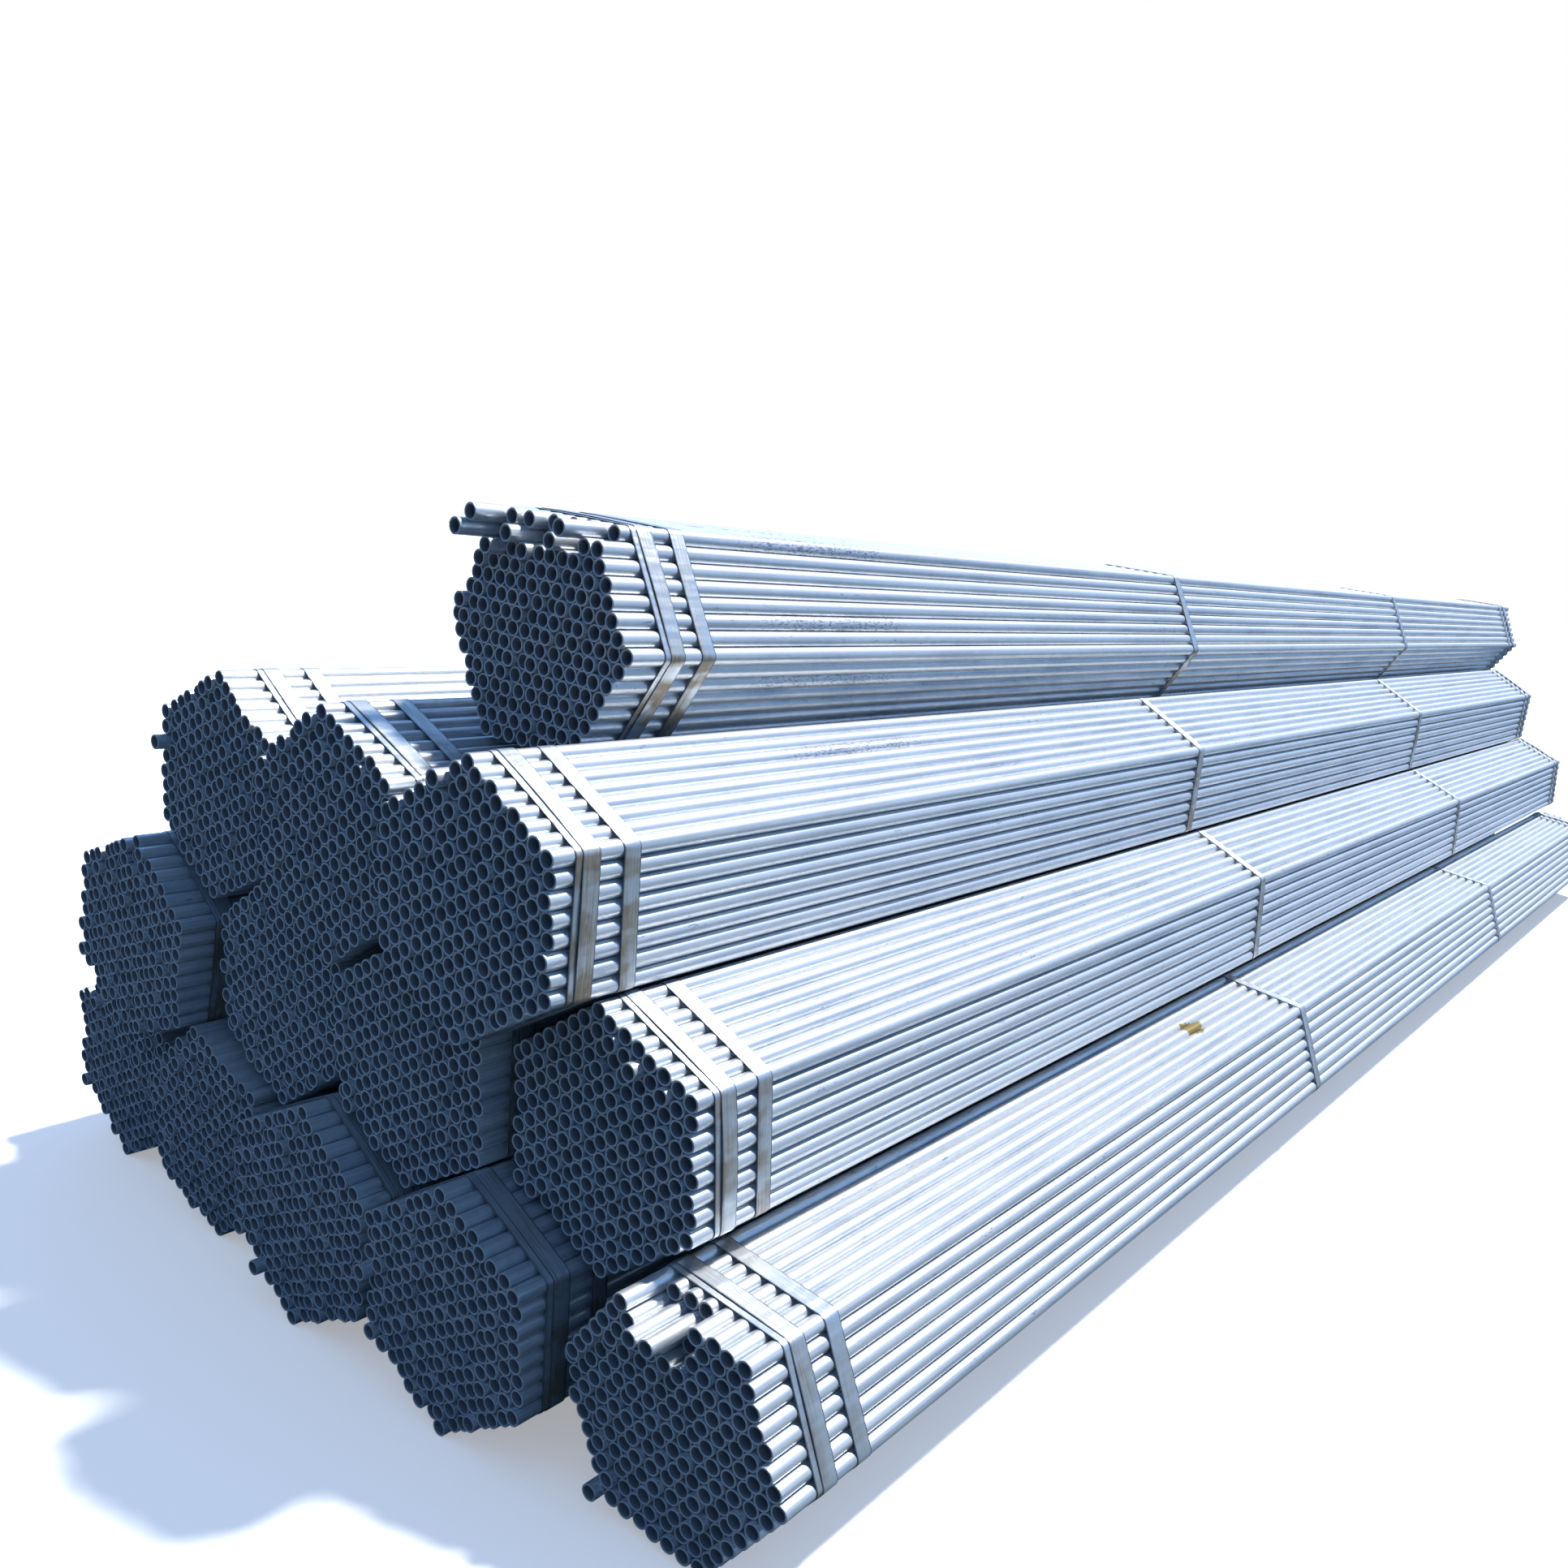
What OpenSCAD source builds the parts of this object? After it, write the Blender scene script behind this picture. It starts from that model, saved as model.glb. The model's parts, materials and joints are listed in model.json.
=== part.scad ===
// Stack of galvanised round steel tubes.
// Thirteen six-sided bundles lie in a honeycomb of 5, 4, 3 and 1, each held by flat steel bands.
// The tubes run along X with their near ends at low X, the layers spread along Y, and Z is up.

/* [Tube] */
// Outside diameter of one tube
tube_od = 26.7; // [20:0.1:40]
// Wall thickness of one tube
tube_wall = 2.9; // [1.5:0.1:6]
// Length of one tube
tube_length = 6400; // [2500:10:12000]

/* [Bundle] */
// Tubes along one side of the six-sided bundle
side_count = 8; // [4:1:9]
// Free space between neighbouring tubes of a bundle
tube_gap = 0.3; // [0.1:0.1:2]
// How far one tube's end may lie behind another's
end_scatter = 12; // [0:1:30]

/* [Bands] */
// Width of a steel band
band_width = 32; // [12:1:50]
// Thickness of a steel band
band_thickness = 0.9; // [0.5:0.1:2]
// Free space between a band and the tubes that it holds
band_clearance = 0.2; // [0.1:0.1:1]
// Bundle end to the middle of the first band
band_inset = 85; // [75:1:300]
// Middle of the first band to the middle of the second, at each end
band_pair_step = 90; // [75:1:300]
// How far the second turn of an end band lies beside the first turn
band_turn_step = 12; // [4:1:20]

/* [Stack] */
// Least free space between two bundles of one layer
row_gap = 7; // [2:1:60]
// Free space left where one bundle rests on another
rest_gap = 0.3; // [0.1:0.1:2]

/* [Hidden] */
// Each layer from the ground up: how far its first bundle lies across, in bundles of the ground layer,
// then for each bundle its turn about its own axis, its end's place along X, a shift across, and how
// much farther from its ends than band_inset its end bands lie.
LAYERS = [
  [0,   [[-22, -65, -10, 0], [-2, -115, 10, -25], [4, -100, 5, -20], [-8, -40, 0, -10], [3, 10, -5, 0]]],
  [0.5, [[-5, 0, 10, -35], [0, -40, 0, -15], [-4, -10, -5, 0], [10, -60, 10, -10]]],
  [1,   [[0, -100, 0, -35], [-4, -45, 5, -30], [5, 0, 0, 0]]],
  [1.5, [[34, 190, 0, 0]]]
];
// Tubes that have slid along their bundle: layer, bundle, steps from the middle tube along the two
// lattice directions, and how far the tube stands out at the near end.
SLID_TUBES = [
  // Loose upper rows of the top bundle
  [3, 0, 7, 0, 62], [3, 0, 6, 1, 5], [3, 0, 5, 2, -5], [3, 0, 4, 3, -30],
  [3, 0, 3, 4, -45], [3, 0, 2, 5, -50], [3, 0, 1, 6, 35], [3, 0, 0, 7, -50],
  [3, 0, 7, -1, 78], [3, 0, 6, 0, 4], [3, 0, 5, 1, 27], [3, 0, 4, 2, -40],
  [3, 0, 3, 3, -45], [3, 0, 2, 4, 14], [3, 0, 1, 5, -42], [3, 0, 6, -1, 30],
  // Proud corner and sunk top of the turned ground bundle
  [0, 0, 0, 7, 30], [0, 0, 1, 6, 25], [0, 0, 2, 5, 25], [0, 0, 3, 4, 20],
  [0, 0, 4, 3, 20], [0, 0, 5, 2, 15], [0, 0, 6, 1, 12], [0, 0, -1, 7, -45],
  [0, 0, -2, 7, -50], [0, 0, -3, 7, -50], [0, 0, -1, 6, 50], [0, 0, -2, 6, 46],
  [0, 0, 0, 6, 25], [0, 0, 1, 5, 25], [0, 0, 2, 4, 20], [0, 0, -3, 6, -30],
  [0, 0, -2, 5, -30], [0, 0, 7, -7, 20],
  // Single tubes that stand out of other bundles
  [0, 1, 7, -3, 22], [0, 2, 4, -7, 18], [1, 0, -3, 6, 16], [2, 0, 2, 5, 15], [2, 2, 7, -2, 20]
];
// Bands along a bundle as shares of its length, between the pairs near its two ends
MIDDLE_BANDS = [1/3, 2/3];

tube_bore = tube_od - 2 * tube_wall;
pitch = tube_od + tube_gap;
core_reach = (side_count - 1) * pitch;
band_core = tube_od / 2 + band_clearance;
skin = band_core + 2 * band_thickness;
layer_mid = (len(LAYERS[0][1]) - 1) / 2;
// How far a cut runs past a face
cut_past = 1;
// Stands for no support at all
nowhere = -1e6;
$fn = 48;

// Middles of the six corner tubes of a bundle at the origin
function corners(turn) = [for (k = [0:5]) core_reach * [cos(90 + 60 * k + turn), sin(90 + 60 * k + turn)]];

// Half the width of a turned bundle
function half_width(turn) = max([for (p = corners(turn)) p.x]) + skin;

// Step from bundle to bundle of a layer, so that the two that need the most room still clear
row_step = row_gap + max([
  for (layer = LAYERS, i = [1:1:len(layer[1]) - 1])
    let (one = layer[1][i - 1], next = layer[1][i])
    half_width(one[0]) + half_width(next[0]) + one[2] - next[2]
]);

// Height of the upper side of a six-sided outline grown by reach, above the place y across
function top_height(points, reach, y) = max([
  for (k = [0:5])
    let (a = points[k], b = points[(k + 1) % 6], along = (b - a) / norm(b - a), out = [along.y, -along.x] * reach)
    let (from = a + out, to = b + out, run = to.x - from.x, share = (y - from.x) / run)
    max(
      abs(y - a.x) < reach ? a.y + sqrt(reach * reach - pow(y - a.x, 2)) : nowhere,
      share >= 0 && share <= 1 ? from.y + share * (to.y - from.y) : nowhere
    )
]);

// Lowest middle height at which a turned bundle at y across clears one that lies under it
function rest_height(y, turn, under) =
  let (reach = 2 * skin + rest_gap)
  let (own = corners(turn), below = [for (p = corners(under[1])) p + under[0]])
  max([
    for (p = own) top_height(below, reach, y + p.x) - p.y,
    // A half turn leaves a six-sided outline as it was, so its upper side also tells of its lower one
    for (p = below) p.y + top_height(own, reach, y - p.x)
  ]);

// Place across of a bundle
function place_across(layer, i) = (LAYERS[layer][0] + i - layer_mid) * row_step + LAYERS[layer][1][i][2];

// Middle and turn of every bundle of a layer, each lowered onto the layer below or the ground
function settled(layer) = layer < 0 ? [] :
  let (below = settled(layer - 1))
  [
    for (i = [0:len(LAYERS[layer][1]) - 1])
      let (turn = LAYERS[layer][1][i][0], y = place_across(layer, i))
      let (ground = skin - min([for (p = corners(turn)) p.y]))
      [[y, max(concat([ground], [for (b = below) rest_height(y, turn, b)]))], turn]
  ];

SETTLED = [for (layer = [0:len(LAYERS) - 1]) settled(layer)];

// Steps of every tube of a bundle along its two lattice directions
STEPS = [
  for (i = [1 - side_count:side_count - 1], j = [1 - side_count:side_count - 1])
    if (abs(i + j) < side_count) [i, j]
];

// End place of every tube of a bundle relative to the bundle's end, the middle tube's being 0
function end_places(layer, i) =
  let (drawn = rands(-end_scatter / 2, end_scatter / 2, len(STEPS), 10 * layer + i + 1))
  [
    for (n = [0:len(STEPS) - 1])
      let (slid = [for (s = SLID_TUBES) if (s[0] == layer && s[1] == i && [s[2], s[3]] == STEPS[n]) s[4]])
      STEPS[n] == [0, 0] ? 0 : len(slid) > 0 ? -slid[0] : drawn[n]
  ];

// The whole stack's ends along X and sides along Y, which put the origin in the middle of its base
ALL_ENDS = [
  for (layer = [0:len(LAYERS) - 1], i = [0:len(LAYERS[layer][1]) - 1])
    let (ends = end_places(layer, i), place = LAYERS[layer][1][i][1])
    [place + min(ends), place + max(ends) + tube_length]
];
ALL_SIDES = [
  for (layer = SETTLED, b = layer, p = corners(b[1])) [b[0].x + p.x - skin, b[0].x + p.x + skin]
];
mid_x = (min([for (e = ALL_ENDS) e[0]]) + max([for (e = ALL_ENDS) e[1]])) / 2;
mid_y = (min([for (s = ALL_SIDES) s[0]]) + max([for (s = ALL_SIDES) s[1]])) / 2;

function bundle_name(layer, i) = str("row", layer + 1, "_", chr(97 + i));

// Moves a bundle from the origin to its place in the stack
module in_stack(layer, i) {
  settled_at = SETTLED[layer][i];
  translate([LAYERS[layer][1][i][1] - mid_x, settled_at[0].x - mid_y, settled_at[0].y])
    rotate([settled_at[1], 0, 0]) children();
}

// One open-ended tube along X from the origin
module tube() {
  rotate([0, 90, 0]) difference() {
    cylinder(d = tube_od, h = tube_length);
    translate([0, 0, -cut_past]) cylinder(d = tube_bore, h = tube_length + 2 * cut_past);
  }
}

// All tubes of one bundle
module tubes(layer, i) {
  ends = end_places(layer, i);
  color("lightsteelblue") in_stack(layer, i)
    for (n = [0:len(STEPS) - 1])
      translate([ends[n], STEPS[n].x * pitch * cos(30), (STEPS[n].y + STEPS[n].x / 2) * pitch]) tube();
}

// Six-sided outline with round corners, at reach from the middles of the corner tubes
module wrap_outline(reach) {
  polygon([
    for (p = corners(0), side = [-30, 30])
      let (heading = atan2(p.y, p.x) + side)
      p + reach * [cos(heading), sin(heading)]
  ]);
  for (p = corners(0)) translate(p) circle(reach);
}

// One turn of band round a bundle, its middle at x, lying out by whole band thicknesses
module band_turn(x, layers_out) {
  translate([x - band_width / 2, 0, 0]) rotate([90, 0, 90])
    linear_extrude(band_width) difference() {
      wrap_outline(band_core + layers_out * band_thickness);
      wrap_outline(band_core);
    }
}

// The six bands of one bundle; the outermost at each end goes round twice
module bands(layer, i) {
  color("gainsboro") in_stack(layer, i) {
    for (end = [0, 1]) {
      inset = band_inset + LAYERS[layer][1][i][3];
      first = end == 0 ? inset : tube_length - inset;
      inward = end == 0 ? 1 : -1;
      union() {
        band_turn(first, 1);
        band_turn(first + inward * band_turn_step, 2);
      }
      band_turn(first + inward * band_pair_step, 1);
    }
    for (share = MIDDLE_BANDS) band_turn(share * tube_length, 1);
  }
}

for (layer = [0:len(LAYERS) - 1], i = [0:len(LAYERS[layer][1]) - 1]) {
  tubes(layer, i);
  bands(layer, i);
}
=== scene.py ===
"""Stack of galvanised steel tubes: thirteen six-sided bundles under flat steel bands.

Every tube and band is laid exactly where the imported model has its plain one.
"""

import json
import math
import random

import bpy
import numpy as np
from mathutils import Matrix, Vector


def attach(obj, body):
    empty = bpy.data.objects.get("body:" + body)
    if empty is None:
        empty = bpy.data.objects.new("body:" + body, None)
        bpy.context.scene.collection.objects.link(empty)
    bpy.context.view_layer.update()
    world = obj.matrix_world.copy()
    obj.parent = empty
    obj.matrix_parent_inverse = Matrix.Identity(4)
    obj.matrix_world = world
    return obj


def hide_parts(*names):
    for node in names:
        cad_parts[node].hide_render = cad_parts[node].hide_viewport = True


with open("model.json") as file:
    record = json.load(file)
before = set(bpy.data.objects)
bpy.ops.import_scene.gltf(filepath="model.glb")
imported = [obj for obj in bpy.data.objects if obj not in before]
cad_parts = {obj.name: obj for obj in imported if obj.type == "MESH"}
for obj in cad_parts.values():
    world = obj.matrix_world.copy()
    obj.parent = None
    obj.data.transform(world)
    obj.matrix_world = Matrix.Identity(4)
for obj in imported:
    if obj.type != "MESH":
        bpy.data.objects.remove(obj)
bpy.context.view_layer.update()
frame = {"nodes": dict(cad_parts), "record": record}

bl_info = {
    "name": "Steel Tube Stack",
    "version": (1, 0, 0),
    "blender": (4, 5, 0),
    "location": "3D View > Sidebar > Tube Stack",
    "description": "Models, finishes and lights a strapped stack of galvanised steel tubes",
    "category": "Object",
}

BUNDLES = sorted(name[len("tubes_"):] for name in frame["nodes"] if name.startswith("tubes_"))
# Points nearer to one another than this are one point
SAME_PLACE = 1e-5
AROUND_Y = (0, math.radians(90), 0)
SHARP_EDGE = math.radians(60)

# Places along X between which some tubes show worn ink, and over what length it fades in and out
INK_RUN = (-2.78, -2.28)
INK_FADE = 0.1
# A splash of mud from the near end of the turned ground bundle, and its half sizes
MUD_FROM_END = (1.705, -0.014, 0.176)
MUD_REACH = (0.055, 0.03, 0.05)
SCUFF_COLOUR = (0.10, 0.11, 0.17, 1)
INK_COLOUR = (0.10, 0.08, 0.14, 1)
MUD_COLOUR = (0.30, 0.22, 0.07, 1)
BAND_SPANGLE_COLOUR = (0.42, 0.50, 0.60, 1)
# A band's dark slit edge, also used as a painted shadow where the band meets the tubes and its own
# lower turn
BAND_EDGE_AND_SHADOW_COLOUR = (0.07, 0.09, 0.13, 1)
KEY_COLOUR = (1.0, 0.97, 0.91)
# How far off the stack the main light stands, which only matters to where it is drawn
KEY_DISTANCE = 10

# Pieces that a band's outline has round each corner and along each side
ARC_STEPS = 5
SIDE_STEPS = 4
# Space left between the start and the end of a band that goes round twice
END_GAP = 0.004
# Length over which a band climbs onto its own start, and over which it moves aside
STEP_UP = 0.009
SIDEWAYS_RUN = 0.09
# Length of a band's free end that springs off, and by how many thicknesses
FREE_END = 0.03
FREE_END_LIFT = 0.8
# A band's metal against the spacing of its turns, so that two turns never share a plane
METAL_SHARE = 0.98
# How much of its spring a band's inner turn has
INNER_SPRING = 0.25
# Least and most share of its side at which a band starts
LAP_SHARES = (0.31, 0.40)
# How far off a side another bundle is looked for
LOOK_OUT = 0.04


class TubeSizes(bpy.types.PropertyGroup):
    """Sizes and finish of one tube"""

    outside_diameter: bpy.props.FloatProperty(
        name="Outside Diameter", description="Outside diameter of a tube",
        default=0.0267, min=0.01, max=0.2, unit="LENGTH")
    wall: bpy.props.FloatProperty(
        name="Wall", description="Wall thickness of a tube",
        default=0.0029, min=0.0005, unit="LENGTH")
    end_chamfer: bpy.props.FloatProperty(
        name="End Chamfer", description="Width of the deburred edges at a tube's ends",
        default=0.0005, min=0.0001, unit="LENGTH")
    sides: bpy.props.IntProperty(
        name="Sides", description="Flat faces round a tube", default=24, min=12, max=64)
    bright_zinc: bpy.props.FloatVectorProperty(
        name="Bright Zinc", description="Colour of fresh zinc on a tube",
        default=(0.86, 0.85, 0.835), min=0, max=1, subtype="COLOR")
    dull_zinc: bpy.props.FloatVectorProperty(
        name="Dull Zinc", description="Colour of the dull streaks along a tube",
        default=(0.24, 0.305, 0.39), min=0, max=1, subtype="COLOR")
    sawn_steel: bpy.props.FloatVectorProperty(
        name="Sawn Steel", description="Colour of the sawn tube ends",
        default=(0.31, 0.285, 0.285), min=0, max=1, subtype="COLOR")
    bore_steel: bpy.props.FloatVectorProperty(
        name="Bore", description="Colour inside the tubes",
        default=(0.19, 0.195, 0.22), min=0, max=1, subtype="COLOR")


class BandSizes(bpy.types.PropertyGroup):
    """Sizes and finish of the flat steel bands"""

    width: bpy.props.FloatProperty(
        name="Width", description="Width of a band", default=0.032, min=0.01, unit="LENGTH")
    thickness: bpy.props.FloatProperty(
        name="Thickness", description="Thickness of a band",
        default=0.0009, min=0.0003, unit="LENGTH")
    clearance: bpy.props.FloatProperty(
        name="Clearance", description="Free space between a band and the tubes",
        default=0.0002, min=0, unit="LENGTH")
    lap: bpy.props.FloatProperty(
        name="Lap", description="How far a band's end lies over its start",
        default=0.11, min=0.02, unit="LENGTH")
    wander: bpy.props.FloatProperty(
        name="Wander", description="How far a band strays sideways on its way round",
        default=0.0035, min=0, unit="LENGTH")
    spring: bpy.props.FloatProperty(
        name="Spring", description="How far a band's outer turn stands off a free side",
        default=0.0026, min=0, max=0.003, unit="LENGTH")
    bright_zinc: bpy.props.FloatVectorProperty(
        name="Bright Zinc", description="Colour of clean zinc on a band",
        default=(0.66, 0.70, 0.74), min=0, max=1, subtype="COLOR")
    # Also the colour of the painted brownish shade and reflection on a band's faces that don't look
    # up
    tarnish_and_reflection_colour: bpy.props.FloatVectorProperty(
        name="Tarnish", description="Colour of the tarnished patches on a band",
        default=(0.25, 0.195, 0.125), min=0, max=1, subtype="COLOR")


class StageSettings(bpy.types.PropertyGroup):
    """Floor, lights and camera"""

    floor_radius: bpy.props.FloatProperty(
        name="Floor Radius", description="Radius of the floor", default=150, min=5, unit="LENGTH")
    floor_colour: bpy.props.FloatVectorProperty(
        name="Floor", description="Colour of the floor", default=(0.72, 0.72, 0.72), min=0, max=1,
        subtype="COLOR")
    floor_bounce: bpy.props.FloatVectorProperty(
        name="Floor Bounce", description="Colour of the light that the floor throws back",
        default=(0.065, 0.095, 0.12), min=0, max=1, subtype="COLOR")
    floor_glow: bpy.props.FloatProperty(
        name="Floor Glow", description="How much the shadow on the floor is lifted",
        default=0.5, min=0)
    backdrop_colour: bpy.props.FloatVectorProperty(
        name="Backdrop", description="Colour behind the stack", default=(1.0, 1.0, 1.0), min=0,
        max=1, subtype="COLOR")
    fill_colour: bpy.props.FloatVectorProperty(
        name="Fill Light", description="Colour of the light from all round",
        default=(0.195, 0.38, 0.71), min=0, max=1, subtype="COLOR")
    fill_strength: bpy.props.FloatProperty(
        name="Fill Strength", description="Strength of the light from all round",
        default=1.2, min=0)
    key_strength: bpy.props.FloatProperty(
        name="Key Strength", description="Strength of the main light", default=8.6, min=0)
    key_from: bpy.props.FloatVectorProperty(
        name="Key From", description="Direction that the main light comes from",
        default=(0.40, -0.22, 0.88), subtype="DIRECTION")
    key_softness: bpy.props.FloatProperty(
        name="Key Softness", description="Angle that the main light takes up",
        default=math.radians(5), min=0, subtype="ANGLE")
    lens: bpy.props.FloatProperty(
        name="Lens", description="Focal length of the camera in millimetres", default=31.21, min=1)
    camera_offset: bpy.props.FloatVectorProperty(
        name="Camera Place", description="Camera from the end of the second layer's first bundle",
        default=(-1.2447, -1.2091, 0.8189), subtype="TRANSLATION", unit="LENGTH")
    camera_heading: bpy.props.FloatProperty(
        name="Camera Heading", description="Turn of the view from +Y towards +X",
        default=math.radians(53.43), subtype="ANGLE")
    camera_pitch: bpy.props.FloatProperty(
        name="Camera Pitch", description="Tilt of the view above level",
        default=math.radians(-16.07), subtype="ANGLE")
    camera_roll: bpy.props.FloatProperty(
        name="Camera Roll", description="Turn of the camera about its view",
        default=math.radians(5.24), subtype="ANGLE")
    camera_shift: bpy.props.FloatVectorProperty(
        name="Camera Shift", description="Shift of the view, in widths of the picture",
        default=(-0.001, 0.0957), size=2)


def pick(*objects):
    """Selects these objects only, the first one being the active one."""
    bpy.ops.object.select_all(action="DESELECT")
    for o in objects:
        o.select_set(True)
    bpy.context.view_layer.objects.active = objects[0]


def points_of(mesh):
    """A mesh's points as rows of x, y and z."""
    flat = np.empty(len(mesh.vertices) * 3, np.float32)
    mesh.vertices.foreach_get("co", flat)
    return flat.reshape(-1, 3).astype(float)


def apply_modifier(piece, kind, **settings):
    """Adds a modifier to a picked piece and applies it."""
    modifier = piece.modifiers.new(kind.lower(), kind)
    for name, value in settings.items():
        setattr(modifier, name, value)
    bpy.ops.object.modifier_apply(modifier=modifier.name)


def joined(pieces, name):
    """Joins pieces into one mesh of that name at the origin."""
    pick(*pieces)
    bpy.ops.object.join()
    whole = bpy.context.view_layer.objects.active
    whole.name = whole.data.name = name
    return whole


def loose_solids(node):
    """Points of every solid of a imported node, in order of place. The node itself stays as it is."""
    copy = bpy.data.objects.new("loose_copy", frame["nodes"][node].data.copy())
    bpy.context.collection.objects.link(copy)
    pick(copy)
    bpy.ops.object.mode_set(mode="EDIT")
    bpy.ops.mesh.select_all(action="SELECT")
    bpy.ops.mesh.remove_doubles(threshold=SAME_PLACE)
    bpy.ops.mesh.separate(type="LOOSE")
    bpy.ops.object.mode_set(mode="OBJECT")
    solids = []
    for part in list(bpy.context.selected_objects):
        mesh = part.data
        solids.append(points_of(mesh))
        bpy.data.objects.remove(part)
        bpy.data.meshes.remove(mesh)
    return sorted(solids, key=lambda points: tuple(points.mean(0).round(4)))


def near_end(bundle):
    """Middle of a bundle's near end."""
    mount = next(m for m in frame["record"]["mounts"] if m["name"] == "bore_" + bundle)
    return Vector(mount["pos_m"])


def tube_places(bundle):
    """Middle of every tube of a bundle."""
    solids = loose_solids("tubes_" + bundle)
    return [Vector(((s[:, 0].min() + s[:, 0].max()) / 2, *s[:, 1:].mean(0))) for s in solids]


def corner_places(places):
    """Y and Z of a bundle's six corner tubes, counterclockwise seen from its far end."""
    flat = [Vector((p.y, p.z)) for p in places]
    middle = sum(flat, Vector((0, 0))) / len(flat)
    outer = sorted(flat, key=lambda p: (p - middle).length)[-6:]
    return sorted(outer, key=lambda p: math.atan2(p.y - middle.y, p.x - middle.x))


class Nodes:
    """Adds nodes to one node tree, and links them as it goes."""

    def __init__(self, tree):
        self.tree = tree

    def add(self, kind, inputs=None, **settings):
        """Adds a node with these settings, its inputs given by name or number."""
        node = self.tree.nodes.new(kind)
        for name, value in settings.items():
            setattr(node, name, value)
        for name, value in (inputs or {}).items():
            self.put(node.inputs[name], value)
        return node

    def put(self, socket, value):
        """Links an output to a socket, or sets the socket to a constant."""
        if isinstance(value, bpy.types.NodeSocket):
            self.tree.links.new(value, socket)
        else:
            socket.default_value = value

    def math(self, operation, *values, clamp=False):
        node = self.add("ShaderNodeMath", operation=operation, use_clamp=clamp)
        for socket, value in zip(node.inputs, values):
            self.put(socket, value)
        return node.outputs["Value"]

    def mix(self, share, low, high):
        """A colour between two."""
        node = self.add("ShaderNodeMix", data_type="RGBA")
        for name, value in (("Factor_Float", share), ("A_Color", low), ("B_Color", high)):
            self.put(next(s for s in node.inputs if s.identifier == name), value)
        return next(s for s in node.outputs if s.identifier == "Result_Color")

    def blend(self, share, low, high):
        """A number between two."""
        node = self.add("ShaderNodeMix", data_type="FLOAT")
        for name, value in (("Factor_Float", share), ("A_Float", low), ("B_Float", high)):
            self.put(next(s for s in node.inputs if s.identifier == name), value)
        return next(s for s in node.outputs if s.identifier == "Result_Float")

    def step(self, value, start, end):
        """0 up to start, 1 from end on, and smooth in between."""
        node = self.add("ShaderNodeMapRange", {"Value": value, "From Min": start, "From Max": end},
                        interpolation_type="SMOOTHSTEP")
        return node.outputs["Result"]

    def noise(self, place, scale, detail):
        """Noise whose cells are stretched by a scale along each axis."""
        stretched = self.add("ShaderNodeMapping", {"Vector": place, "Scale": scale})
        return self.add("ShaderNodeTexNoise", {
            "Vector": stretched.outputs["Vector"], "Scale": 1.0, "Detail": detail}).outputs["Fac"]


def colour(rgb):
    """A colour setting with full alpha, as a node socket takes it."""
    return (*rgb, 1.0)


def zinc_group():
    """Masks of a zinc coat: streaks along the first axis, spangle, blotches and scuffs."""
    group = bpy.data.node_groups.new("zinc_coat", "ShaderNodeTree")
    group.interface.new_socket("Place", in_out="INPUT", socket_type="NodeSocketVector")
    for name, value in (("Streak Length", 1.0), ("Streak Width", 0.005), ("Spangle Size", 0.007)):
        socket = group.interface.new_socket(name, in_out="INPUT", socket_type="NodeSocketFloat")
        socket.default_value = value
    for name in ("Streaks", "Spangle", "Blotches", "Scuffs"):
        group.interface.new_socket(name, in_out="OUTPUT", socket_type="NodeSocketFloat")
    n = Nodes(group)
    given = n.add("NodeGroupInput")
    out = n.add("NodeGroupOutput")

    def stretched(length, width):
        """The place, so scaled that a cell of noise has this length and width."""
        by = n.add("ShaderNodeCombineXYZ", {"X": length, "Y": width, "Z": width})
        return n.add("ShaderNodeVectorMath", {0: given.outputs["Place"], 1: by.outputs["Vector"]},
                     operation="DIVIDE").outputs["Vector"]

    streak = n.add("ShaderNodeTexNoise", {
        "Vector": stretched(given.outputs["Streak Length"], given.outputs["Streak Width"]),
        "Scale": 1.0, "Detail": 3.0, "Roughness": 0.6})
    spangle = n.add("ShaderNodeTexVoronoi", {
        "Vector": stretched(n.math("MULTIPLY", given.outputs["Spangle Size"], 2.5),
                            given.outputs["Spangle Size"]),
        "Scale": 1.0, "Randomness": 1.0})
    blotch = n.add("ShaderNodeTexNoise", {
        "Vector": stretched(0.30, 0.05), "Scale": 1.0, "Detail": 4.0, "Roughness": 0.65})
    scuff = n.add("ShaderNodeTexNoise", {
        "Vector": stretched(0.035, 0.008), "Scale": 1.0, "Detail": 5.0, "Roughness": 0.7})
    where = n.add("ShaderNodeTexNoise", {
        "Vector": stretched(0.8, 0.06), "Scale": 1.0, "Detail": 1.0})
    n.put(out.inputs["Streaks"], n.step(streak.outputs["Fac"], 0.35, 0.68))
    n.put(out.inputs["Spangle"], spangle.outputs["Color"])
    n.put(out.inputs["Blotches"], n.step(blotch.outputs["Fac"], 0.42, 0.66))
    n.put(out.inputs["Scuffs"], n.math("MULTIPLY", n.step(scuff.outputs["Fac"], 0.60, 0.66),
                                       n.step(where.outputs["Fac"], 0.56, 0.66)))
    return group


def zinc_coat(n, place, streak_length, streak_width, spangle_size):
    """Places the zinc coat's masks in a material, and returns their sockets."""
    group = n.add("ShaderNodeGroup", node_tree=bpy.data.node_groups["zinc_coat"])
    n.put(group.inputs["Place"], place)
    n.put(group.inputs["Streak Length"], streak_length)
    n.put(group.inputs["Streak Width"], streak_width)
    n.put(group.inputs["Spangle Size"], spangle_size)
    return group.outputs


def principled(name, **values):
    """A new material, its Nodes and its Principled BSDF with constants set on its own sockets."""
    material = bpy.data.materials.new(name)
    material.use_nodes = True
    shader = material.node_tree.nodes["Principled BSDF"]
    for socket, value in values.items():
        shader.inputs[socket.replace("_", " ")].default_value = value
    return material, Nodes(material.node_tree), shader


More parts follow.
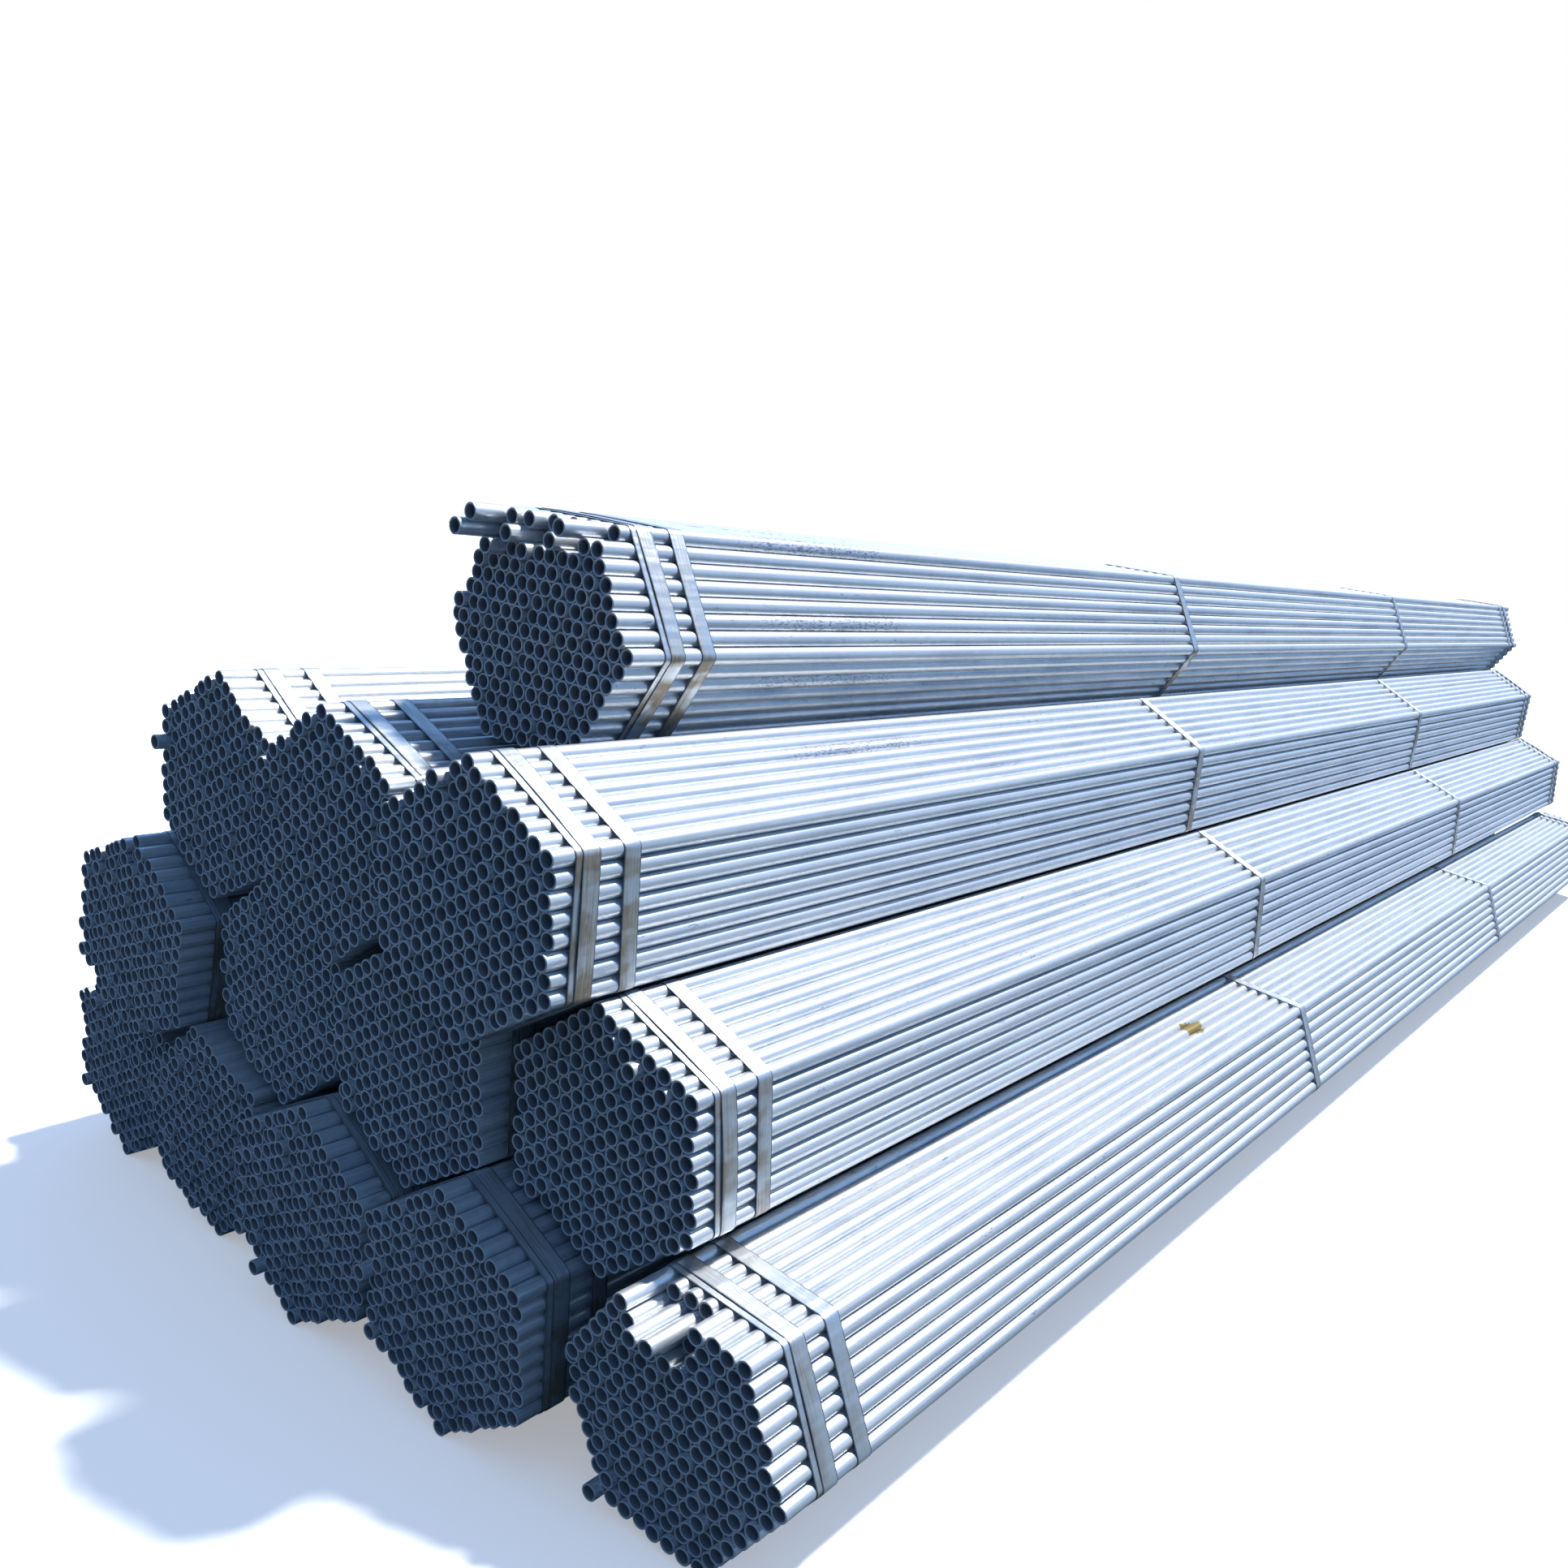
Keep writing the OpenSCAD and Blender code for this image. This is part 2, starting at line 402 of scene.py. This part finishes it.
def worn_ink(n, place, tone):
    """Mask of worn, unreadable specks of ink about a metre from the near ends, on a few tubes."""
    along = n.add("ShaderNodeSeparateXYZ", {0: place}).outputs["X"]
    start, end = INK_RUN
    window = n.math("MULTIPLY", n.step(along, start, start + INK_FADE),
                    n.math("SUBTRACT", 1.0, n.step(along, end - INK_FADE, end)))
    specks = n.noise(place, (110, 330, 330), 2.0)
    on = n.math("MULTIPLY", n.step(specks, 0.53, 0.58), n.step(tone, 0.86, 0.88))
    return n.math("MULTIPLY", n.math("MULTIPLY", window, on), 0.6)


def dried_mud(n, place):
    """Mask of one dried splash of mud on top of the turned ground bundle."""
    spot = near_end("row1_a") + Vector(MUD_FROM_END)
    off = n.add("ShaderNodeVectorMath", {0: place, 1: tuple(spot)}, operation="SUBTRACT")
    shape = n.add("ShaderNodeVectorMath", {0: off.outputs["Vector"], 1: MUD_REACH},
                  operation="DIVIDE")
    reach = n.add("ShaderNodeVectorMath", {0: shape.outputs["Vector"]}, operation="LENGTH")
    ragged = n.add("ShaderNodeTexNoise", {"Vector": place, "Scale": 55.0, "Detail": 4.0})
    edge = n.math("ADD", reach.outputs["Value"], n.math("MULTIPLY", ragged.outputs["Fac"], 1.1))
    return n.math("SUBTRACT", 1.0, n.step(edge, 1.25, 1.4))


def tube_finish(sizes):
    """Galvanised tube: pale streaked zinc outside, dull sawn ends, dark bores."""
    material, n, shader = principled("galvanised_tube_finish", IOR=1.6)
    place = n.add("ShaderNodeTexCoord").outputs["Object"]
    zinc = zinc_coat(n, place, streak_length=1.6, streak_width=0.0045, spangle_size=0.006)
    tone = n.add("ShaderNodeAttribute", attribute_name="tube_tone").outputs["Fac"]
    bore = n.add("ShaderNodeAttribute", attribute_name="bore_face").outputs["Fac"]
    sawn = n.add("ShaderNodeAttribute", attribute_name="sawn_face").outputs["Fac"]
    # How dull the zinc is: its own marks, and each tube's own tone
    dull = n.math("ADD", n.math("MULTIPLY", zinc["Streaks"], 0.34),
                  n.math("MULTIPLY", zinc["Spangle"], 0.14))
    dull = n.math("ADD", dull, n.math("MULTIPLY", zinc["Blotches"], 0.22))
    dull = n.math("ADD", dull, n.math("MULTIPLY", tone, 0.26), clamp=True)
    skin = n.mix(dull, colour(sizes.bright_zinc), colour(sizes.dull_zinc))
    skin = n.mix(n.math("MULTIPLY", zinc["Scuffs"], 0.55), skin, SCUFF_COLOUR)
    skin = n.mix(worn_ink(n, place, tone), skin, INK_COLOUR)
    skin = n.mix(dried_mud(n, place), skin, MUD_COLOUR)
    # Bare steel at the sawn ends and in the bores
    sawn_skin = n.mix(n.math("MULTIPLY", zinc["Spangle"], 0.3), colour(sizes.sawn_steel),
                      colour(sizes.dull_zinc))
    skin = n.mix(bore, n.mix(sawn, skin, sawn_skin), colour(sizes.bore_steel))
    bare = n.math("MAXIMUM", sawn, bore)
    rough = n.math("ADD", 0.25, n.math("MULTIPLY", dull, 0.25))
    n.put(shader.inputs["Base Color"], skin)
    n.put(shader.inputs["Roughness"], n.blend(bare, rough, 0.6))
    n.put(shader.inputs["Metallic"], n.blend(bare, 0.75, 0.25))
    height = n.math("ADD", zinc["Streaks"], n.math("MULTIPLY", zinc["Spangle"], 0.5))
    bump = n.add("ShaderNodeBump", {"Height": height, "Strength": 0.12, "Distance": 0.0003})
    n.put(shader.inputs["Normal"], bump.outputs["Normal"])
    return material


def band_finish(sizes):
    """Galvanised strapping: clean zinc with tarnished blotches, a painted brownish shade and
    reflection in patches on faces that don't look up, and dark slit edges that are partly painted
    shadow.
    """
    material, n, shader = principled("galvanised_band_finish", IOR=1.6, Metallic=0.85)
    place = n.add("ShaderNodeUVMap", uv_map="band_way").outputs["UV"]
    zinc = zinc_coat(n, place, streak_length=0.12, streak_width=0.003, spangle_size=0.004)
    # Brownish colour in two kinds: tarnished blotches all round, which are real, and a painted
    # brownish shade and reflection, in patches, on faces that don't look up
    facing = n.add("ShaderNodeSeparateXYZ", {0: n.add("ShaderNodeTexCoord").outputs["Normal"]})
    upright = n.math("SUBTRACT", 1.0, n.step(facing.outputs["Z"], -0.2, 0.7))
    tarnish_and_reflection_share = n.math("MULTIPLY", zinc["Blotches"],
                  n.math("ADD", 0.35, n.math("MULTIPLY", zinc["Streaks"], 0.5)))
    patches = n.step(n.noise(place, (15, 8, 1), 3.0), 0.42, 0.58)
    # Strength of the painted shade and reflection in each patch
    worn = n.math("ADD", 0.15, n.math("MULTIPLY", patches, 0.8))
    tarnish_and_reflection_share = n.math("ADD", tarnish_and_reflection_share, n.math("MULTIPLY", upright, worn), clamp=True)
    skin = n.mix(tarnish_and_reflection_share, colour(sizes.bright_zinc), colour(sizes.tarnish_and_reflection_colour))
    skin = n.mix(n.math("MULTIPLY", zinc["Spangle"], 0.25), skin, BAND_SPANGLE_COLOUR)
    # Dark slit edges, which are also a painted shadow along both edges of the band, where it meets
    # the tubes and its own lower turn
    across = n.math("ABSOLUTE", n.add("ShaderNodeSeparateXYZ", {0: place}).outputs["Y"])
    edge = n.step(across, sizes.width * 0.41, sizes.width * 0.48)
    skin = n.mix(n.math("MULTIPLY", edge, 0.85), skin, BAND_EDGE_AND_SHADOW_COLOUR)
    n.put(shader.inputs["Base Color"], skin)
    n.put(shader.inputs["Roughness"], n.math("ADD", 0.30, n.math("MULTIPLY", tarnish_and_reflection_share, 0.25)))
    creases = n.noise(place, (48, 9, 1), 1.5)
    height = n.math("ADD", n.math("MULTIPLY", zinc["Streaks"], 0.15), creases)
    bump = n.add("ShaderNodeBump", {"Height": height, "Strength": 0.6, "Distance": 0.003})
    n.put(shader.inputs["Normal"], bump.outputs["Normal"])
    return material


def model_tube(sizes, length):
    """One tube along X, its middle at the origin, with deburred ends, marked where it is sawn."""
    radius = sizes.outside_diameter / 2
    bpy.ops.object.select_all(action="DESELECT")
    bpy.ops.mesh.primitive_cylinder_add(
        vertices=sizes.sides, radius=radius, depth=length, end_fill_type="NOTHING",
        rotation=AROUND_Y)
    bpy.ops.object.transform_apply(location=False, rotation=True, scale=False)
    tube = bpy.context.active_object
    apply_modifier(tube, "SOLIDIFY", thickness=sizes.wall, offset=-1, use_even_offset=True)
    apply_modifier(tube, "BEVEL", width=sizes.end_chamfer, segments=1, limit_method="ANGLE",
                   angle_limit=SHARP_EDGE)
    bpy.ops.object.shade_smooth_by_angle(angle=math.radians(30))
    mesh = tube.data
    sawn = [abs(face.normal.x) > 0.3 for face in mesh.polygons]
    inward = [f.normal.y * f.center.y + f.normal.z * f.center.z < 0 for f in mesh.polygons]
    for name, values in (("sawn_face", [float(s) for s in sawn]),
                         ("bore_face", [float(i and not s) for i, s in zip(inward, sawn)]),
                         ("tube_tone", [0.0] * len(sawn))):
        mesh.attributes.new(name, "FLOAT", "FACE").data.foreach_set("value", values)
    return tube


def lay_bundle(tube, bundle, places):
    """Copies of the tube at every place of a bundle, as one piece."""
    draw = random.Random(bundle)
    copies = []
    for place in places:
        mesh = tube.data.copy()
        turn = Matrix.Rotation(draw.uniform(0, math.tau), 4, "X")
        mesh.transform(Matrix.Translation(place) @ turn)
        mesh.attributes["tube_tone"].data.foreach_set("value", [draw.random()] * len(mesh.polygons))
        copy = bpy.data.objects.new("tube_copy", mesh)
        bpy.context.collection.objects.link(copy)
        copies.append(copy)
    piece = joined(copies, "tube_bundle_" + bundle)
    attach(piece, "root")
    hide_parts("tubes_" + bundle)
    return piece


class TUBE_STACK_OT_bundles(bpy.types.Operator):
    """Model one tube and lay its copies as thirteen bundles"""

    bl_idname = "tube_stack.bundles"
    bl_label = "Tube Bundles"

    def execute(self, context):
        sizes = context.scene.tube_stack_tubes
        length = frame["record"]["mounts"][0]["dims"]["length_mm"] / 1000
        tube = model_tube(sizes, length)
        tube.data.materials.append(tube_finish(sizes))
        for bundle in BUNDLES:
            lay_bundle(tube, bundle, tube_places(bundle))
        bpy.data.objects.remove(tube)
        return {"FINISHED"}


class Outline:
    """Way round six corner tubes at a reach from their middles, measured from the first corner."""

    def __init__(self, corners, reach):
        self.points, self.outs = [], []
        for k, corner in enumerate(corners):
            ahead = (corners[(k + 1) % 6] - corner).normalized()
            before = (corner - corners[k - 1]).normalized()
            start, end = (math.atan2(-d.x, d.y) for d in (before, ahead))
            turn = (end - start) % math.tau
            for i in range(ARC_STEPS + 1):
                angle = start + turn * i / ARC_STEPS
                out = Vector((math.cos(angle), math.sin(angle)))
                self.points.append(corner + out * reach)
                self.outs.append(out)
            side = corners[(k + 1) % 6] - corner
            for i in range(1, SIDE_STEPS):
                self.points.append(corner + side * i / SIDE_STEPS + out * reach)
                self.outs.append(out)
        self.way = [0.0]
        for a, b in zip(self.points, self.points[1:] + self.points[:1]):
            self.way.append(self.way[-1] + (b - a).length)
        self.round = self.way.pop()

    def at(self, s):
        """Place, outward direction, side and share of that side passed, at a distance along."""
        s %= self.round
        k = int(np.searchsorted(self.way, s + SAME_PLACE / 100, side="right")) - 1
        after = (k + 1) % len(self.way)
        end = self.way[after] if after else self.round
        share = min(max((s - self.way[k]) / (end - self.way[k]), 0), 1)
        out = self.outs[k].lerp(self.outs[after], share)
        side, step = divmod(k, ARC_STEPS + SIDE_STEPS)
        passed = max(step + share - ARC_STEPS, 0) / SIDE_STEPS
        return self.points[k].lerp(self.points[after], share), out.normalized(), side, passed

    def stations(self, start, length, extra):
        """Distances of all bends and of the extra ones between start and start + length."""
        found = {start, start + length, *extra}
        for turn in range(-1, 4):
            found.update(w + turn * self.round for w in self.way
                         if start < w + turn * self.round < start + length)
        kept = []
        for s in sorted(found):
            if not kept or s - kept[-1] > 0.0008:
                kept.append(s)
        return kept


def smooth(share):
    """0 to 1 with level ends."""
    share = min(max(share, 0), 1)
    return share * share * (3 - 2 * share)


def end_lift(s, end):
    """How far, in thicknesses, the last of a band's free end springs off."""
    return FREE_END_LIFT * smooth(1 - (end - s) / FREE_END)


def wrap_band(sizes, outline, free, middle_x, lap_at, turns, turn_shift, draw):
    """One band wound round a bundle from a straight strip. A single turn laps over its start."""
    lap = sizes.lap if turns == 1 else -END_GAP
    length = turns * outline.round + lap
    steps_up = [lap_at + t * outline.round for t in range(1, turns + (lap > 0))]
    extra = [s + d for s in steps_up for d in (-STEP_UP, -STEP_UP / 2, 0)]
    stations = outline.stations(lap_at, length, extra)
    phase, skew = draw.uniform(0, math.tau), draw.uniform(-1, 1) * sizes.wander
    springs = [sizes.spring * draw.uniform(0.4, 1) * is_free for is_free in free]
    bpy.ops.object.select_all(action="DESELECT")
    bpy.ops.mesh.primitive_grid_add(x_subdivisions=len(stations) - 1, y_subdivisions=1, size=1)
    strip = bpy.context.active_object
    mesh = strip.data
    flat = points_of(mesh)
    columns = np.rint((flat[:, 0] + 0.5) * (len(stations) - 1)).astype(int)
    places = np.empty_like(flat)
    for v, (column, across) in enumerate(zip(columns, flat[:, 1])):
        s = stations[column]
        place, out, side, passed = outline.at(s)
        layers = sum(smooth((s - (up - STEP_UP)) / STEP_UP) for up in steps_up)
        spring = springs[side] * (INNER_SPRING + (1 - INNER_SPRING) * layers)
        lift = (layers + end_lift(s, lap_at + length)) * sizes.thickness \
            + spring * math.sin(math.pi * passed)
        aside = turn_shift * sum(
            smooth((s - (up - SIDEWAYS_RUN)) / SIDEWAYS_RUN) for up in steps_up)
        stray = sizes.wander * math.sin(math.tau * s / outline.round + phase) \
            + skew * math.cos(2 * math.tau * s / outline.round + phase)
        place = place + out * lift
        places[v] = (middle_x + aside + stray + across * sizes.width, place.x, place.y)
    mesh.vertices.foreach_set("co", places.astype(np.float32).ravel())
    way = mesh.uv_layers.active
    way.name = "band_way"
    begin = draw.uniform(0, 50)
    for corner in mesh.loops:
        v = corner.vertex_index
        way.data[corner.index].uv = (stations[columns[v]] + begin, flat[v, 1] * sizes.width)
    mesh.update()
    apply_modifier(strip, "SOLIDIFY", thickness=sizes.thickness * METAL_SHARE, offset=1,
                   use_even_offset=True)
    apply_modifier(strip, "BEVEL", width=sizes.thickness * 0.3, segments=1, limit_method="ANGLE",
                   angle_limit=SHARP_EDGE)
    bpy.ops.object.shade_smooth_by_angle(angle=math.radians(35))
    return strip


def bind_bundle(sizes, material, bundle, corners, others, radius):
    """All bands of a bundle, as one piece."""
    draw = random.Random("bands " + bundle)
    outline = Outline(corners, radius + sizes.clearance)
    middle = sum(corners, Vector((0, 0))) / 6
    sides = [(corners[k] + corners[(k + 1) % 6]) / 2 - middle for k in range(6)]
    # A side is free when neither another bundle nor the floor lies right in front of it
    ahead = [middle + side + side.normalized() * LOOK_OUT for side in sides]
    reach = sides[0].length
    free = [p.y > 0 and all((p - other).length > reach for other in others) for p in ahead]
    # The ends meet on the side that looks most towards +Y
    lap_side = max(range(6), key=lambda k: sides[k].x)
    side_start = outline.way[lap_side * (ARC_STEPS + SIDE_STEPS) + ARC_STEPS]
    side_length = (corners[0] - corners[1]).length
    strips = []
    for solid in loose_solids("bands_" + bundle):
        low, high = solid[:, 0].min(), solid[:, 0].max()
        lap_at = side_start + side_length * draw.uniform(*LAP_SHARES)
        # A solid that is wider than a band is one that goes round twice, stepping inward
        turn_shift = (high - low) - sizes.width
        turns, middle_x = 1, (low + high) / 2
        if turn_shift < SAME_PLACE * 10:
            turn_shift = 0
        elif low < 0:
            turns, middle_x = 2, low + sizes.width / 2
        else:
            turns, middle_x, turn_shift = 2, high - sizes.width / 2, -turn_shift
        strip = wrap_band(sizes, outline, free, middle_x, lap_at, turns, turn_shift, draw)
        strip.data.materials.append(material)
        strips.append(strip)
    piece = joined(strips, "band_set_" + bundle)
    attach(piece, "root")
    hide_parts("bands_" + bundle)
    return piece


class TUBE_STACK_OT_bands(bpy.types.Operator):
    """Wind the flat bands round every bundle"""

    bl_idname = "tube_stack.bands"
    bl_label = "Bands"

    def execute(self, context):
        scene = context.scene
        material = band_finish(scene.tube_stack_bands)
        radius = scene.tube_stack_tubes.outside_diameter / 2
        corners = {bundle: corner_places(tube_places(bundle)) for bundle in BUNDLES}
        middles = {bundle: sum(found, Vector((0, 0))) / 6 for bundle, found in corners.items()}
        for bundle in BUNDLES:
            others = [middles[name] for name in BUNDLES if name != bundle]
            bind_bundle(scene.tube_stack_bands, material, bundle, corners[bundle], others, radius)
        return {"FINISHED"}


class TUBE_STACK_OT_finishes(bpy.types.Operator):
    """Build the zinc coat that the tubes and bands share"""

    bl_idname = "tube_stack.finishes"
    bl_label = "Zinc Coat"

    def execute(self, context):
        zinc_group()
        return {"FINISHED"}


def floor(settings):
    """Plain pale floor. Only the camera sees it pale; the stack gets its dimmer bounce."""
    bpy.ops.object.select_all(action="DESELECT")
    bpy.ops.mesh.primitive_circle_add(vertices=96, radius=settings.floor_radius, fill_type="NGON")
    disc = bpy.context.active_object
    disc.name = "floor"
    material, n, shader = principled("floor_finish", Roughness=0.95, Specular_IOR_Level=0.1)
    mottle = n.add("ShaderNodeTexNoise", {
        "Vector": n.add("ShaderNodeTexCoord").outputs["Object"], "Scale": 0.6, "Detail": 3.0})
    shade = n.mix(n.math("MULTIPLY", mottle.outputs["Fac"], 0.06), colour(settings.floor_colour),
                  (0.6, 0.6, 0.6, 1))
    seen = n.add("ShaderNodeLightPath").outputs["Is Camera Ray"]
    n.put(shader.inputs["Base Color"], n.mix(seen, colour(settings.floor_bounce), shade))
    n.put(shader.inputs["Emission Color"], shade)
    n.put(shader.inputs["Emission Strength"], n.math("MULTIPLY", seen, settings.floor_glow))
    disc.data.materials.append(material)


def surroundings(settings):
    """Soft fill from all round. The camera sees a plain backdrop in its place."""
    world = bpy.data.worlds.new("studio")
    bpy.context.scene.world = world
    world.use_nodes = True
    tree = world.node_tree
    tree.nodes.clear()
    n = Nodes(tree)
    fill = n.add("ShaderNodeBackground", {"Color": colour(settings.fill_colour),
                                          "Strength": settings.fill_strength})
    seen = n.add("ShaderNodeBackground", {"Color": colour(settings.backdrop_colour),
                                          "Strength": 1.0})
    path = n.add("ShaderNodeLightPath")
    mix = n.add("ShaderNodeMixShader", {0: path.outputs["Is Camera Ray"], 1: fill.outputs[0],
                                        2: seen.outputs[0]})
    n.add("ShaderNodeOutputWorld", {"Surface": mix.outputs[0]})


def key_light(settings):
    """The main light, from high up, with slightly soft shadows."""
    lamp = bpy.data.lights.new("key", "SUN")
    lamp.energy, lamp.angle = settings.key_strength, settings.key_softness
    lamp.color = KEY_COLOUR
    key = bpy.data.objects.new("key", lamp)
    bpy.context.collection.objects.link(key)
    key.rotation_mode = "QUATERNION"
    key.rotation_quaternion = Vector(settings.key_from).to_track_quat("Z", "Y")
    key.location = Vector(settings.key_from) * KEY_DISTANCE


def camera(settings):
    """The camera, low at the stack's near end, placed from the second layer's first bundle."""
    yaw, pitch, roll = settings.camera_heading, settings.camera_pitch, settings.camera_roll
    level = Vector((math.cos(yaw), -math.sin(yaw), 0))
    onward = Vector((math.sin(yaw), math.cos(yaw), 0))
    ahead = onward * math.cos(pitch) + Vector((0, 0, math.sin(pitch)))
    above = level.cross(ahead)
    right = level * math.cos(roll) + above * math.sin(roll)
    up = above * math.cos(roll) - level * math.sin(roll)
    data = bpy.data.cameras.new("camera")
    data.lens, data.sensor_width = settings.lens, 36
    data.shift_x, data.shift_y = settings.camera_shift
    data.clip_start, data.clip_end = 0.05, 500
    eye = bpy.data.objects.new("camera", data)
    bpy.context.collection.objects.link(eye)
    turn = Matrix((right, up, -ahead)).transposed().to_4x4()
    place = near_end("row2_a") + Vector(settings.camera_offset)
    eye.matrix_world = Matrix.Translation(place) @ turn
    bpy.context.scene.camera = eye


class TUBE_STACK_OT_stage(bpy.types.Operator):
    """Set the floor, the lights and the camera"""

    bl_idname = "tube_stack.stage"
    bl_label = "Stage"

    def execute(self, context):
        settings = context.scene.tube_stack_stage
        floor(settings)
        surroundings(settings)
        key_light(settings)
        camera(settings)
        context.scene.view_settings.view_transform = "Standard"
        return {"FINISHED"}


class TUBE_STACK_PT_panel(bpy.types.Panel):
    """Lists the steps that build the stack and their sizes"""

    bl_idname = "TUBE_STACK_PT_panel"
    bl_label = "Tube Stack"
    bl_space_type = "VIEW_3D"
    bl_region_type = "UI"
    bl_category = "Tube Stack"

    def draw(self, context):
        for step in STEPS:
            self.layout.operator(step.bl_idname)
        for group, name in ((TubeSizes, "tube_stack_tubes"), (BandSizes, "tube_stack_bands"),
                            (StageSettings, "tube_stack_stage")):
            box = self.layout.box()
            for setting in group.__annotations__:
                box.prop(getattr(context.scene, name), setting)


STEPS = (TUBE_STACK_OT_finishes, TUBE_STACK_OT_bundles, TUBE_STACK_OT_bands, TUBE_STACK_OT_stage)
CLASSES = (TubeSizes, BandSizes, StageSettings, *STEPS, TUBE_STACK_PT_panel)


def register():
    for cls in CLASSES:
        bpy.utils.register_class(cls)
    bpy.types.Scene.tube_stack_tubes = bpy.props.PointerProperty(type=TubeSizes)
    bpy.types.Scene.tube_stack_bands = bpy.props.PointerProperty(type=BandSizes)
    bpy.types.Scene.tube_stack_stage = bpy.props.PointerProperty(type=StageSettings)


def unregister():
    del bpy.types.Scene.tube_stack_stage
    del bpy.types.Scene.tube_stack_bands
    del bpy.types.Scene.tube_stack_tubes
    for cls in reversed(CLASSES):
        bpy.utils.unregister_class(cls)


def main():
    register()
    bpy.ops.tube_stack.finishes()
    bpy.ops.tube_stack.bundles()
    bpy.ops.tube_stack.bands()
    bpy.ops.tube_stack.stage()


if __name__ == "__main__":
    main()
